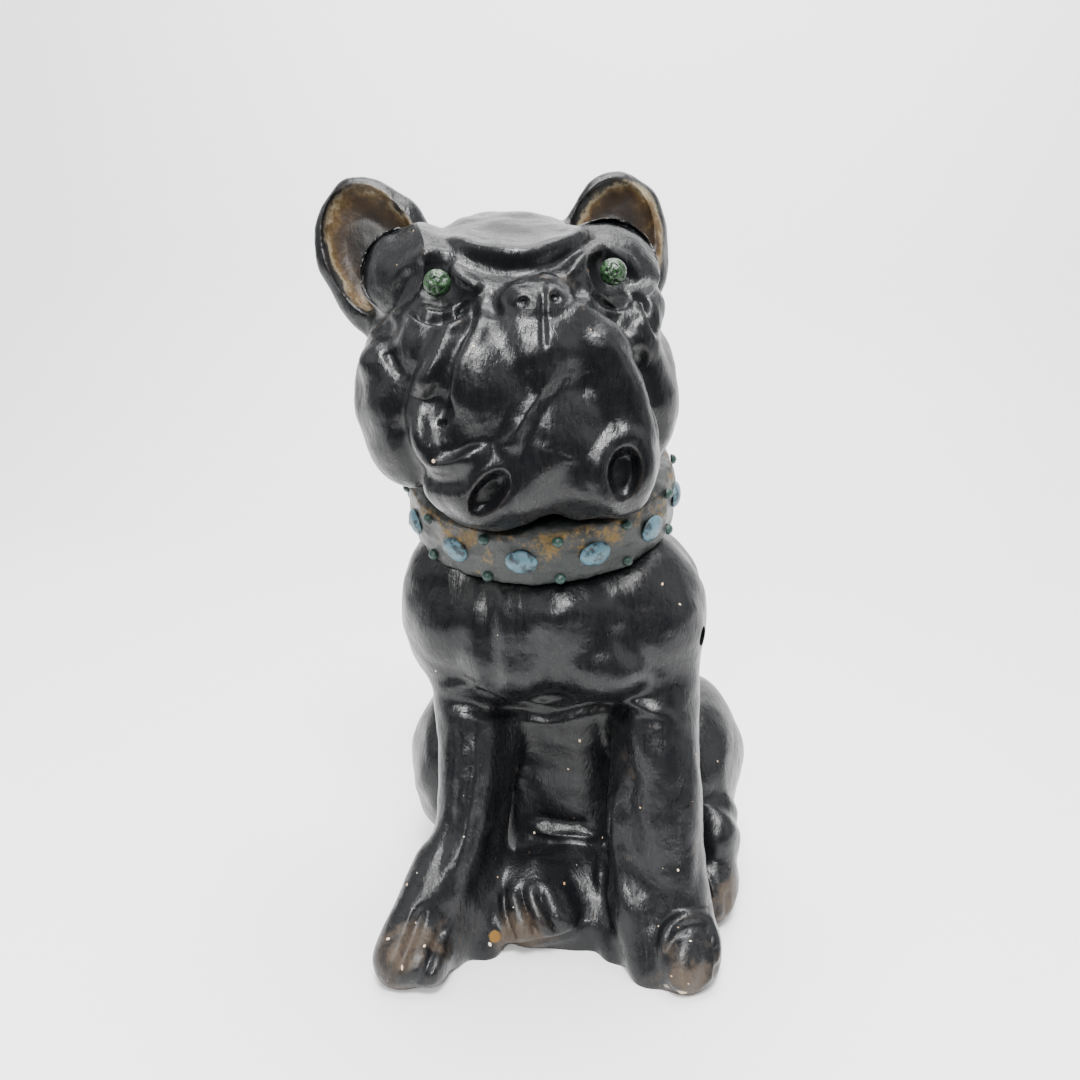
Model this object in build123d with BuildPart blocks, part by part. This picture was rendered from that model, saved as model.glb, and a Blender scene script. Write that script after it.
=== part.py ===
"""A seated dog figure in hollow black-glazed earthenware, as the potter's separate pieces.

Millimetres, +Z up, the dog faces -Y, and left and right are the dog's own: its left is +X.
The origin is on the floor, under the middle of the figure's outline. The torso and the head are
pressed hollow in front and back halves. The ears, eyes, nose, collar, bosses, legs, haunches, paws
and tail are shaped apart and luted on, and all of it stands on a slab.
"""

import os
from math import cos, radians, sin

from build123d import *

# Driving sizes
WALL = 6.0                       # pressed clay wall
SLAB = 12.0                      # thickness of the base slab
SEAM_Y = 6.0                     # the mould seam between front and back halves, from the axis
AXIS_X = 14.3                    # the torso's own axis, from the middle of the figure's outline
AXIS_Y = -8.2
AXIS = Vector(AXIS_X, AXIS_Y, 0)

VENT_RADIUS = 3.5                # firing vent in the left shoulder
POUR_RADIUS = 11.0               # hole in the underside
PINHOLE_RADIUS = 1.2             # pinhole in the fold of the right cheek
EYE_RADII = (4.8, 3.6, 4.8)
EAR_RADII = (21, 9, 30)
EAR_HOLLOW = (15, 8, 23)

COLLAR_RADII = (47.0, 43.0)      # outside of the collar band
COLLAR_WIDE = 21.0
COLLAR_PITCH = 22.0              # the collar hangs lower at the throat
COLLAR_ROLL = -3.3               # and on the dog's right
BOSS_COUNT = 12                  # blue bosses round the collar
BOSS_RADII = (5.4, 2.4, 4.4)
BEAD_RADIUS = 1.9
BEAD_ROW = 7.4                   # height of each row of beads from the middle of the band

HEAD_TURN = 13.0                 # the head turns to the dog's left,
HEAD_UP = 8.0                    # looks up,
HEAD_TILT = -6.0                 # and tips its crown to the dog's right
HEAD_CENTRE = AXIS + Vector(-25, -18, 206)
HEAD_FRAME = Location(HEAD_CENTRE, (0, 0, HEAD_TURN)) * Location((0, 0, 0), (-HEAD_UP, HEAD_TILT, 0))

COLLAR_FRAME = Location(AXIS + Vector(-15, -7, 163), (COLLAR_PITCH, COLLAR_ROLL, 0))

table = Plane.XY
neck_joint = Plane(COLLAR_FRAME)
seam = Plane.XZ.offset(-(AXIS_Y + SEAM_Y))


def place(x, y, z, turn=(0, 0, 0)):
    """A place measured from the torso's axis, turned by degrees about X, Y and Z."""
    return Location(AXIS + Vector(x, y, z), turn)


def on_head(x, y, z, turn=(0, 0, 0)):
    """A place measured from the middle of the head, along the head's own axes."""
    return HEAD_FRAME * Location((x, y, z), turn)


def lump(where, radii, wall=0.0):
    """A lump of clay: an ellipsoid with these radii along its own X, Y and Z, less a wall."""
    with BuildPart() as ball:
        Sphere(1)
        scale(by=tuple(radius - wall for radius in radii))
    return ball.part.moved(where)


def column(sections, wall=0.0):
    """A smooth post through elliptical sections (x, y, z, radius along X, radius along Y)."""
    with BuildPart() as post:
        for x, y, z, radius_x, radius_y in sections:
            with BuildSketch(Plane.XY.offset(z)):
                with Locations((AXIS_X + x, AXIS_Y + y)):
                    Ellipse(radius_x - wall, radius_y - wall)
        loft()
    return post.part


os.makedirs("parts", exist_ok=True)

# ---------------------------------------------------------------- torso
# The torso is a column that leans to the dog's right as it rises, with deep shoulders over the legs.
# The head is joined to it under the collar.
COLUMN = [
    (-1, 33, SLAB, 50, 46),
    (-1, 33, 45, 51, 46),
    (-4, 25, 80, 47, 42),
    (-9, 13, 108, 46, 41),
    (-13, 4, 132, 42, 38),
    (-16, -2, 155, 39, 35),
    (-18, -6, 174, 40, 36),
    (-20, -8, 194, 42, 38),
]
SHOULDERS = [
    (place(-8, -6, 116), (52, 35, 28)),
    (place(-43, -8, 120), (23, 28, 35)),
    (place(22, -8, 118), (25, 29, 34)),
]

with BuildPart() as torso_outer:
    add(column(COLUMN))
    for where, radii in SHOULDERS:
        add(lump(where, radii))
    split(bisect_by=neck_joint, keep=Keep.BOTTOM)

with BuildPart() as torso_shell:
    add(torso_outer.part)
    add(column(COLUMN, WALL), mode=Mode.SUBTRACT)
    for where, radii in SHOULDERS:
        add(lump(where, radii, WALL), mode=Mode.SUBTRACT)
    with BuildSketch(Plane(place(34, -10, 117, (0, 90, 0)))):
        Circle(VENT_RADIUS)
    extrude(amount=30, mode=Mode.SUBTRACT)

with BuildPart() as body_front:
    add(torso_shell.part)
    split(bisect_by=seam, keep=Keep.TOP)
body_front.part.label = "body_front_shell"
export_step(body_front.part, "parts/body_front_shell.step")

with BuildPart() as body_back:
    add(torso_shell.part)
    split(bisect_by=seam, keep=Keep.BOTTOM)
body_back.part.label = "body_back_shell"
export_step(body_back.part, "parts/body_back_shell.step")

# ---------------------------------------------------------------- head
# The head is broad and short: a round skull and brow, heavy jowls and a deep square muzzle.
HEAD_LUMPS = [
    (on_head(0, 6, 6), (52, 44, 48)),
    (on_head(0, -9, 18), (48, 36, 35)),
    (on_head(4, -26, -8), (36, 27, 37)),
    (on_head(5, -25, 12), (30, 28, 32)),
    (on_head(-32, -12, -14), (24, 26, 27)),
    (on_head(32, -12, -14), (24, 26, 27)),
]
EYE_SPOTS = {"eye_left": on_head(30, -35, 27), "eye_right": on_head(-24, -38, 27)}
eye_pellets = {name: lump(spot, EYE_RADII) for name, spot in EYE_SPOTS.items()}

with BuildPart() as head_outer:
    add(column(COLUMN))
    for where, radii in HEAD_LUMPS:
        add(lump(where, radii))
    split(bisect_by=neck_joint, keep=Keep.TOP)

with BuildPart() as head_shell:
    add(head_outer.part)
    add(column(COLUMN, WALL), mode=Mode.SUBTRACT)
    for where, radii in HEAD_LUMPS:
        add(lump(where, radii, WALL), mode=Mode.SUBTRACT)
    for pellet in eye_pellets.values():
        add(pellet, mode=Mode.SUBTRACT)
    with BuildSketch(Plane(on_head(-24, -62, -12, (-90, 0, 0)))):
        Circle(PINHOLE_RADIUS)
    extrude(amount=-22, mode=Mode.SUBTRACT)

with BuildPart() as head_front:
    add(head_shell.part)
    split(bisect_by=seam, keep=Keep.TOP)
head_front.part.label = "head_front_shell"
export_step(head_front.part, "parts/head_front_shell.step")

with BuildPart() as head_back:
    add(head_shell.part)
    split(bisect_by=seam, keep=Keep.BOTTOM)
head_back.part.label = "head_back_shell"
export_step(head_back.part, "parts/head_back_shell.step")

# ---------------------------------------------------------------- eyes
# Each eye is a round pellet of clay pressed into its socket.
for name, pellet in eye_pellets.items():
    with BuildPart() as eye:
        add(pellet)
    eye.part.label = name
    export_step(eye.part, f"parts/{name}.step")

# ---------------------------------------------------------------- nose
# The nose is a small pad of clay with two nostrils pushed into it.
with BuildPart() as nose:
    add(lump(on_head(6, -51, 20), (12, 8, 8)))
    add(head_outer.part, mode=Mode.SUBTRACT)
    for side in (-1, 1):
        add(lump(on_head(6 + side * 5, -61, 20), (2.4, 5, 2)), mode=Mode.SUBTRACT)
nose.part.label = "nose_pad"
export_step(nose.part, "parts/nose_pad.step")

# ---------------------------------------------------------------- ears
# Each ear is a pinched cup, open to the front, that stands on the corner of the skull.
EARS = {
    "ear_left": (on_head(40, 12, 37, (0, 14, 10)), on_head(40, 6, 39, (0, 14, 10))),
    "ear_right": (on_head(-41, 12, 41, (0, -18, -10)), on_head(-41, 6, 43, (0, -18, -10))),
}

for name, (cup, hollow) in EARS.items():
    with BuildPart() as ear:
        add(lump(cup, EAR_RADII))
        add(lump(hollow, EAR_HOLLOW), mode=Mode.SUBTRACT)
        add(head_outer.part, mode=Mode.SUBTRACT)
    ear.part.label = name
    export_step(ear.part, f"parts/{name}.step")

# ---------------------------------------------------------------- collar
# The collar is a band round the neck joint, with a row of bosses between two rows of beads.
BOSS_STEP = 360 / BOSS_COUNT


def round_collar(turn, height):
    """A place on the collar's outer face at this angle and height, with its own Y pointing out."""
    x = COLLAR_RADII[0] * cos(radians(turn))
    y = COLLAR_RADII[1] * sin(radians(turn))
    return COLLAR_FRAME * Location((x, y, height), (0, 0, turn - 90))


def clear_of_body(where, radius):
    """Whether a pellet here is free of the head and the torso, which cover the band in places."""
    middle = Vertex(where.position)
    covered = torso_outer.part.is_inside(where.position) or head_outer.part.is_inside(where.position)
    gap = min(middle.distance_to(torso_outer.part), middle.distance_to(head_outer.part))
    return gap > radius and not covered


boss_places = [round_collar(BOSS_STEP * k - 2, 0) for k in range(BOSS_COUNT)]
boss_places = [where for where in boss_places if clear_of_body(where, BOSS_RADII[1])]
bead_places = [round_collar(BOSS_STEP * k + 13, row) for k in range(BOSS_COUNT) for row in (-BEAD_ROW, BEAD_ROW)]
bead_places = [where for where in bead_places if clear_of_body(where, BEAD_RADIUS)]

with BuildPart() as collar_band:
    with BuildSketch(Plane(COLLAR_FRAME)):
        Ellipse(*COLLAR_RADII)
    extrude(amount=COLLAR_WIDE / 2, both=True)
    add(torso_outer.part, mode=Mode.SUBTRACT)
    add(head_outer.part, mode=Mode.SUBTRACT)
collar_band.part.label = "collar_band"
export_step(collar_band.part, "parts/collar_band.step")

with BuildPart() as boss:
    Sphere(1)
    scale(by=BOSS_RADII)
    split(bisect_by=Plane.XZ, keep=Keep.BOTTOM)

with BuildPart() as bead:
    Sphere(BEAD_RADIUS)
    split(bisect_by=Plane.XZ, keep=Keep.BOTTOM)

collar_bosses = Compound(label="collar_bosses", children=[boss.part.moved(where) for where in boss_places])
export_step(collar_bosses, "parts/collar_bosses.step")
collar_beads = Compound(label="collar_beads", children=[bead.part.moved(where) for where in bead_places])
export_step(collar_beads, "parts/collar_beads.step")

# ---------------------------------------------------------------- forelegs and forepaws
# The forelegs are solid posts from under the chest, spread at the feet, each on a rounded paw.
FORELEGS = {
    "left": [(43, -36, 14, 15, 14), (31, -28, 50, 16, 17), (33, -22, 85, 16, 17), (29, -12, 122, 14, 14)],
    "right": [(-42, -44, 14, 14, 15), (-38, -33, 52, 11, 16), (-36, -22, 85, 15, 17), (-36, -12, 122, 14, 14)],
}
FOREPAWS = {
    "left": (place(46, -42, 11), (14, 17, 13)),
    "right": (place(-49, -53, 11, (0, 0, -14)), (13, 22, 14)),
}
standing = [torso_outer.part]

for side, sections in FORELEGS.items():
    with BuildPart() as forepaw:
        add(lump(*FOREPAWS[side]))
        split(bisect_by=table, keep=Keep.TOP)
    forepaw.part.label = f"forepaw_{side}"
    export_step(forepaw.part, f"parts/forepaw_{side}.step")
    with BuildPart() as foreleg:
        add(column(sections))
        add(torso_outer.part, mode=Mode.SUBTRACT)
        add(forepaw.part, mode=Mode.SUBTRACT)
    foreleg.part.label = f"foreleg_{side}"
    export_step(foreleg.part, f"parts/foreleg_{side}.step")
    standing += [forepaw.part, foreleg.part]

# ---------------------------------------------------------------- base slab
# The slab follows the seated dog's outline, hollowed between the forepaws, and rises to a mound there.
OUTLINE = [
    (-54, -66), (-36, -63), (6, -38), (34, -57), (51, -52), (57, -10),
    (60, 45), (36, 78), (-34, 78), (-59, 42), (-52, -20),
]
MOUND = (place(2, -6, 6), (38, 38, 24))

with BuildPart() as slab_outer:
    with BuildSketch(table):
        with BuildLine():
            Spline(*[(AXIS_X + x, AXIS_Y + y) for x, y in OUTLINE], periodic=True)
        make_face()
    extrude(amount=SLAB)
    add(lump(*MOUND))
    split(bisect_by=table, keep=Keep.TOP)

with BuildPart() as base_slab:
    add(slab_outer.part)
    for piece in standing:
        add(piece, mode=Mode.SUBTRACT)
    with BuildSketch(table):
        with Locations((AXIS_X, AXIS_Y + 33)):
            Circle(POUR_RADIUS)
    extrude(amount=SLAB, mode=Mode.SUBTRACT)
base_slab.part.label = "base_slab"
export_step(base_slab.part, "parts/base_slab.step")
standing.append(slab_outer.part)

# ---------------------------------------------------------------- haunches, hind paws and tail
# The dog sits on its right hip, so the left hind paw comes out beside it and the right one in
# front, on the mound. The tail is a short stub laid down over the rump.
HINDQUARTERS = {
    "haunch_left": (place(45, 32, 44, (0, 0, 4)), (22, 40, 37)),
    "haunch_right": (place(-46, 33, 42, (0, 0, -4)), (23, 38, 36)),
    "hind_paw_left": (place(55, -1, 14, (0, 0, 4)), (12, 22, 18)),
    "hind_paw_right": (place(-12, -30, 18, (28, 0, 8)), (15, 22, 13)),
    "tail_stub": (place(-2, 80, 38, (-12, 0, 0)), (9, 10, 24)),
}

for name, (where, radii) in HINDQUARTERS.items():
    whole_lump = lump(where, radii)
    with BuildPart() as luted:
        add(whole_lump)
        for piece in standing:
            add(piece, mode=Mode.SUBTRACT)
        split(bisect_by=table, keep=Keep.TOP)
    luted.part.label = name
    export_step(luted.part, f"parts/{name}.step")
    standing.append(whole_lump)
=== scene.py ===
"""The looks of a seated pottery dog: black brushed glaze over moulded and hand-worked clay.

The potter's order is kept: the clay of the body and of the head is built up, worked with a tool and
cut into its pressed parts, then the small parts are added. Everything is in metres in the CAD
model's own frame: the dog faces -Y, and its own left is +X.
"""

import math

import bmesh
import bpy
import numpy as np
from mathutils import Matrix, Vector


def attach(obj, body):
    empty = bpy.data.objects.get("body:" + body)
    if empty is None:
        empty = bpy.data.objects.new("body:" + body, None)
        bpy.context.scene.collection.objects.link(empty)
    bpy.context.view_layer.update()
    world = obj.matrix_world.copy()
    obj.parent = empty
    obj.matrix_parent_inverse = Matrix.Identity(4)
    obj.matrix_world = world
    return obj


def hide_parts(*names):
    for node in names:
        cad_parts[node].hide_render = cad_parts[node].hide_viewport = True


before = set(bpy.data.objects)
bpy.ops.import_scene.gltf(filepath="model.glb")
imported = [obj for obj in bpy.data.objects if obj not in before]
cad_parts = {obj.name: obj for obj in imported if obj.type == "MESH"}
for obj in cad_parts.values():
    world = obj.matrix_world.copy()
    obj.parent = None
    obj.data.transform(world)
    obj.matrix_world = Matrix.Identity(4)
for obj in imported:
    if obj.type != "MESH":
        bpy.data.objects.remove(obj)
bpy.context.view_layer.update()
MM = 0.001

# ---------------------------------------------------------------- camera
# The figure is seen from a little above its eyes and slightly to its left, at arm's length, with
# the camera tipped a touch to one side. The axis is the upright line that the torso is built on.
figure_axis = Vector((14.3, -8.2, 0.0)) * MM
camera_data = bpy.data.cameras.new("camera")
camera_data.lens = 36.0
camera_data.sensor_width = 36.0
camera = bpy.data.objects.new("camera", camera_data)
bpy.context.scene.collection.objects.link(camera)
camera.location = figure_axis + Vector((24.7, -384.5, 236.0)) * MM
swing = Matrix.Rotation(math.radians(6.0), 4, "Z")
nod = Matrix.Rotation(math.radians(90.0 - 13.5), 4, "X")
cant = Matrix.Rotation(math.radians(2.0), 4, "Z")
camera.rotation_euler = (swing @ nod @ cant).to_euler()
bpy.context.scene.camera = camera

# ---------------------------------------------------------------- floor and light
# A pale painted table top ends just in front of the figure and sweeps up behind it into a pale wall,
# in a white room. A ceiling lamp and a window give the highlights, and the other lamps are soft.
def shader(name):
    """A new material with its nodes, its links and its Principled shader."""
    made = bpy.data.materials.new(name)
    made.use_nodes = True
    return made, made.node_tree, made.node_tree.nodes["Principled BSDF"]


def paint(code):
    """The linear colour of an sRGB hex value."""
    parts = [int(code[i : i + 2], 16) / 255 for i in (0, 2, 4)]
    return (*[p / 12.92 if p <= 0.04045 else ((p + 0.055) / 1.055) ** 2.4 for p in parts], 1.0)


def add(tree, kind, inputs, **settings):
    """Adds a node with its settings; inputs are values, or the sockets linked to them."""
    made = tree.nodes.new(kind)
    for key, value in settings.items():
        setattr(made, key, value)
    for key, value in inputs.items():
        if isinstance(value, bpy.types.NodeSocket):
            tree.links.new(value, made.inputs[key])
        else:
            made.inputs[key].default_value = value
    return made


# matt emulsion paint: an even pale tone with little shine
table_paint, _, table_coat = shader("pale_table_paint")
table_coat.inputs["Base Color"].default_value = paint("f4f4f4")
table_coat.inputs["Roughness"].default_value = 0.6
table_side, front_edge, wall_line, wall_height = 2.0, -0.24, 0.8, 2.5
sweep = bmesh.new()
bmesh.ops.create_grid(sweep, x_segments=1, y_segments=1, size=table_side)
front = [vert for vert in sweep.verts if vert.co.y < 0]
bmesh.ops.translate(sweep, verts=front, vec=(0, front_edge + table_side, 0))
rear = [edge for edge in sweep.edges if all(vert.co.y > 0 for vert in edge.verts)]
bmesh.ops.translate(sweep, verts=rear[0].verts[:], vec=(0, wall_line - table_side, 0))
wall = bmesh.ops.extrude_edge_only(sweep, edges=rear)["geom"]
wall_top = [corner for corner in wall if isinstance(corner, bmesh.types.BMVert)]
bmesh.ops.translate(sweep, verts=wall_top, vec=(0, 0, wall_height))
fold = [edge for edge in sweep.edges if len(edge.link_faces) == 2]
bmesh.ops.bevel(sweep, geom=fold, offset=0.25, segments=12, profile=0.5, affect="EDGES", material=-1)
floor_mesh = bpy.data.meshes.new("floor")
sweep.to_mesh(floor_mesh)
sweep.free()
floor_mesh.materials.append(table_paint)
floor = bpy.data.objects.new("floor", floor_mesh)
bpy.context.scene.collection.objects.link(floor)
floor_mesh.polygons.foreach_set("use_smooth", [True] * len(floor_mesh.polygons))


def lamp(name, place, aim, side, power):
    """A square soft lamp at a place in metres, turned towards a point."""
    data = bpy.data.lights.new(name, "AREA")
    data.size = side
    data.energy = power
    light = bpy.data.objects.new(name, data)
    light.location = place
    light.rotation_euler = (Vector(aim) - Vector(place)).to_track_quat("-Z", "Y").to_euler()
    bpy.context.scene.collection.objects.link(light)


lamp("ceiling_lamp", (0.05, -0.62, 1.05), (0, 0, 0.18), 0.30, 26.0)
lamp("window_behind", (-0.12, -1.25, 0.78), (0, 0, 0.15), 0.26, 16.0)
lamp("wall_lamp", (0.0, 0.15, 1.3), (0, 0.9, 0.35), 0.8, 30.0)
lamp("window_side", (-1.3, -0.7, 0.9), (0, 0, 0.15), 0.9, 5.0)
lamp("room_side", (1.3, -0.5, 0.7), (0, 0, 0.15), 0.9, 4.0)
# the ceiling and walls are white, and the side of the room behind the camera is dim
room = bpy.data.worlds.new("room")
room.use_nodes = True
sky = room.node_tree
direction = add(sky, "ShaderNodeTexCoord", {})
parts = add(sky, "ShaderNodeSeparateXYZ", {"Vector": direction.outputs["Generated"]})
height = add(
    sky,
    "ShaderNodeMapRange",
    {"Value": parts.outputs["Z"], "From Min": -0.15, "From Max": 0.75, "To Min": 0.4, "To Max": 1.6},
)
depth = add(
    sky,
    "ShaderNodeMapRange",
    {"Value": parts.outputs["Y"], "From Min": -0.9, "From Max": 0.4, "To Min": 0.16, "To Max": 1.0},
)
level = add(sky, "ShaderNodeMath", {0: height.outputs[0], 1: depth.outputs[0]}, operation="MULTIPLY")
sky.links.new(level.outputs[0], sky.nodes["Background"].inputs["Strength"])
sky.nodes["Background"].inputs["Color"].default_value = paint("f2f3f5")
bpy.context.scene.world = room


# ---------------------------------------------------------------- body clay
# The body is built up solid from lumps and rolled lengths of clay, fused and smoothed, then worked
# with a tool: torso, shoulders, legs, paws, haunches, tail and slab are one skin until they are cut.
def fused(name, lumps, rolls, home, grain, soften):
    """Lumps (centre, radii, turns in degrees) and rolls (points x, y, z, radius) as one smooth skin.

    Sizes are in millimetres along the axes of home, and each lump turns about its own X, then Y,
    then Z. grain is the length of the skin's faces, and soften is how often it is smoothed. A roll
    is balls of clay that stand a small share of its radius apart.
    """
    apart = 0.22
    form = bmesh.new()
    for centre, radii, turns in lumps:
        where = home @ Matrix.Translation(Vector(centre) * MM)
        for angle, axis in zip(turns, "XYZ"):
            where = where @ Matrix.Rotation(math.radians(angle), 4, axis)
        stretch = Matrix.Diagonal((*[r * MM for r in radii], 1.0))
        finer = 5 if max(radii) > 12 else 4
        bmesh.ops.create_icosphere(form, subdivisions=finer, radius=1.0, matrix=where @ stretch)
    for path in rolls:
        for start, end in zip(path[:-1], path[1:]):
            count = max(2, int(math.dist(start[:3], end[:3]) / (apart * min(start[3], end[3]))))
            for k in range(count + 1):
                x, y, z, radius = (a + (b - a) * k / count for a, b in zip(start, end))
                where = home @ Matrix.Translation(Vector((x, y, z)) * MM)
                finer = 5 if radius > 20 else 3
                bmesh.ops.create_icosphere(form, subdivisions=finer, radius=radius * MM, matrix=where)
    mesh = bpy.data.meshes.new(name)
    form.to_mesh(mesh)
    form.free()
    rough = bpy.data.objects.new(name, mesh)
    bpy.context.scene.collection.objects.link(rough)
    # a coarse skin is smoothed well, then a fine one follows it
    for size, passes in ((1.8 * grain, soften), (grain, 5)):
        remesh = rough.modifiers.new("fuse", "REMESH")
        remesh.mode = "VOXEL"
        remesh.voxel_size = size * MM
        remesh.use_smooth_shade = True
        sponge = rough.modifiers.new("sponge", "SMOOTH")
        sponge.factor = 0.5
        sponge.iterations = passes
    skin = bpy.data.meshes.new_from_object(rough.evaluated_get(bpy.context.evaluated_depsgraph_get()))
    bpy.data.objects.remove(rough)
    skin.name = name
    return skin


class Clay:
    """A skin being worked: its points and outward directions in millimetres, along home's axes."""

    def __init__(self, skin, home):
        self.skin = skin
        self.home = np.array(home.inverted())
        self.back = np.array(home)
        self.measure()

    def measure(self):
        """Reads the skin's points and outward directions."""
        flat = np.empty(len(self.skin.vertices) * 3)
        self.skin.vertices.foreach_get("co", flat)
        self.points = (flat.reshape(-1, 3) @ self.home[:3, :3].T + self.home[:3, 3]) / MM
        self.look()

    def look(self):
        """Writes the points back to the skin and reads its outward directions again."""
        places = (self.points * MM) @ self.back[:3, :3].T + self.back[:3, 3]
        self.skin.vertices.foreach_set("co", places.ravel())
        self.skin.update()
        flat = np.empty(len(self.points) * 3)
        self.skin.vertex_normals.foreach_get("vector", flat)
        self.out = flat.reshape(-1, 3) @ self.home[:3, :3].T

    def sponge(self, strength, times):
        """Smooths the whole skin a little, as a damp sponge does."""
        self.look()
        form = bmesh.new()
        form.from_mesh(self.skin)
        every_way = {"use_axis_x": True, "use_axis_y": True, "use_axis_z": True}
        for _ in range(times):
            bmesh.ops.smooth_vert(form, verts=form.verts, factor=strength, **every_way)
        form.to_mesh(self.skin)
        form.free()
        self.measure()

    def facing(self, view):
        """How much each point faces the side being worked: 0 behind the outline, 1 well inside it."""
        across, deep = self.out[:, 0], self.out[:, 1]
        towards = {"front": -deep, "back": deep, "left": across, "right": -across}[view]
        well_inside = 0.25
        return np.clip(towards / well_inside, 0, 1)

    def flat(self, view):
        """The two coordinates seen from a side: across and up."""
        columns = {"front": (0, 2), "back": (0, 2), "left": (1, 2), "right": (1, 2)}[view]
        return self.points[:, columns]

    def oval(self, at, radii, turn, view):
        """How far out each point lies in an oval, squared: 0 in the middle and 1 on its edge."""
        seen = self.flat(view) - np.array(at)
        c, s = math.cos(math.radians(turn)), math.sin(math.radians(turn))
        across, up = seen[:, 0] * c + seen[:, 1] * s, -seen[:, 0] * s + seen[:, 1] * c
        return (across / radii[0]) ** 2 + (up / radii[1]) ** 2

    def thumb(self, at, radii, height, turn=0.0, edge=2.0, view="front"):
        """Presses an oval out (height above 0) or in. A smaller edge gives steeper sides."""
        near = self.oval(at, radii, turn, view)
        amount = height * np.clip(1 - near, 0, 1) ** edge * self.facing(view)
        self.points += self.out * amount[:, None]

    def tool(self, path, width, depth, lip=0.0, taper=True, view="front"):
        """Draws a tool along a path: depth presses in (below 0 it raises), and lip raises both sides."""
        line = smooth_path(path)
        seen = self.flat(view)
        # only the points that the lips can reach, and that face the tool, are worked out
        reach = 3.2 * width
        low, high = line.min(0) - reach, line.max(0) + reach
        chosen = np.nonzero(((seen > low) & (seen < high)).all(1) & (self.facing(view) > 0))[0]
        near = seen[chosen]
        gap = np.full(len(chosen), 1e9)
        along = np.zeros(len(chosen))
        for k in range(len(line) - 1):
            run = line[k + 1] - line[k]
            length = np.hypot(*run) + 1e-9
            offset = near - line[k]
            t = np.clip(offset @ run / length**2, 0, 1)
            away = offset - t[:, None] * run
            far = np.hypot(away[:, 0], away[:, 1])
            closer = far < gap
            gap[closer] = far[closer]
            along[closer] = ((k + t) / (len(line) - 1))[closer]
        # the tool bites gradually over the first and last part of a tapered stroke
        bite = 0.22
        fade = np.clip(np.minimum(along, 1 - along) / bite, 0, 1) if taper else np.ones(len(chosen))
        fade = fade * fade * (3 - 2 * fade)
        near_edge = np.clip(1 - gap / width, 0, 1)
        amount = -depth * near_edge * near_edge * (3 - 2 * near_edge)
        amount += lip * np.exp(-(((gap - 1.25 * width) / (0.6 * width)) ** 2))
        amount *= fade * self.facing(view)[chosen]
        self.points[chosen] += self.out[chosen] * amount[:, None]

    def dish(self, at, radii, depth, turn):
        """Opens a cup from the front: an oval is pushed straight back, deepest in the middle."""
        near = self.oval(at, radii, turn, "front")
        cup = np.clip(1.15 * (1 - near**1.6), 0, 1) ** 0.8
        self.points[:, 1] += depth * cup * self.facing("front")
        self.look()

    def uneven(self, length, height, seed):
        """The unevenness that hands leave: smooth random hollows of this length and height."""
        count = 20
        draw = np.random.default_rng(seed)
        ways = draw.normal(size=(count, 3))
        pace = 2 * math.pi / length * draw.uniform(0.7, 1.4, count)
        ways *= (pace / np.linalg.norm(ways, axis=1))[:, None]
        waves = np.sin(self.points @ ways.T + draw.uniform(0, 2 * math.pi, count)).sum(1)
        self.points += self.out * (height * waves / math.sqrt(count / 2))[:, None]


def smooth_path(path):
    """A smooth line through given points, about one point to the millimetre."""
    points = np.array(path, float)
    ends = np.vstack([2 * points[0] - points[1], points, 2 * points[-1] - points[-2]])
    line = []
    for a, b, c, d in zip(ends[:-3], ends[1:-2], ends[2:-1], ends[3:]):
        for t in np.linspace(0, 1, max(3, int(np.hypot(*(c - b)))), endpoint=False):
            bend = (2 * a - 5 * b + 4 * c - d) * t**2 + (3 * b - a - 3 * c + d) * t**3
            line.append(0.5 * (2 * b + (c - a) * t + bend))
    return np.array(line + [points[-1]])


body_home = Matrix.Translation(figure_axis)
BODY_LUMPS = [
    # the trunk, from the seat up to the neck
    ((-1, 33, 34), (50, 45, 34), (0, 0, 0)),
    ((-18, -6, 172), (38, 34, 24), (0, 0, 0)),
    # chest and shoulders
    ((-8, -10, 121), (47, 35, 30), (0, 0, 0)),
    ((-22, -23, 110), (22, 20, 19), (0, 0, 0)),
    ((8, -23, 112), (24, 21, 19), (0, 0, 0)),
    ((-42, -9, 121), (23, 27, 34), (0, 0, 0)),
    ((21, -8, 119), (26, 30, 34), (0, 0, 0)),
    # haunches
    ((45, 33, 46), (21, 38, 35), (0, 0, 4)),
    ((-48, 34, 42), (20, 36, 33), (0, 0, -4)),
    # forepaws
    ((46, -45, 10), (12.5, 17, 15), (0, 0, 0)),
    ((-49, -57, 8), (12.5, 19, 12), (0, 0, -12)),
    ((-42, -58, 8), (8, 17, 10), (0, 0, 0)),
    # hind paws
    ((55, -3, 13), (11.5, 18, 16), (0, 0, 4)),
    ((56, 4, 30), (10.5, 17, 17), (0, 0, 0)),
    ((-13, -27, 15), (14, 15, 13), (20, 0, 0)),
    ((-11, -34, 9), (14, 11, 10), (0, 0, 0)),
    # slab and the mound under the belly
    ((3, -10, 4), (33, 28, 26), (0, 0, 0)),
    ((-1, 34, 6), (54, 46, 10), (0, 0, 0)),
    ((0, 4, 3), (50, 42, 8), (0, 0, 0)),
    # tail
    ((-2, 78, 38), (9, 9, 24), (-12, 0, 0)),
]
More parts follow.
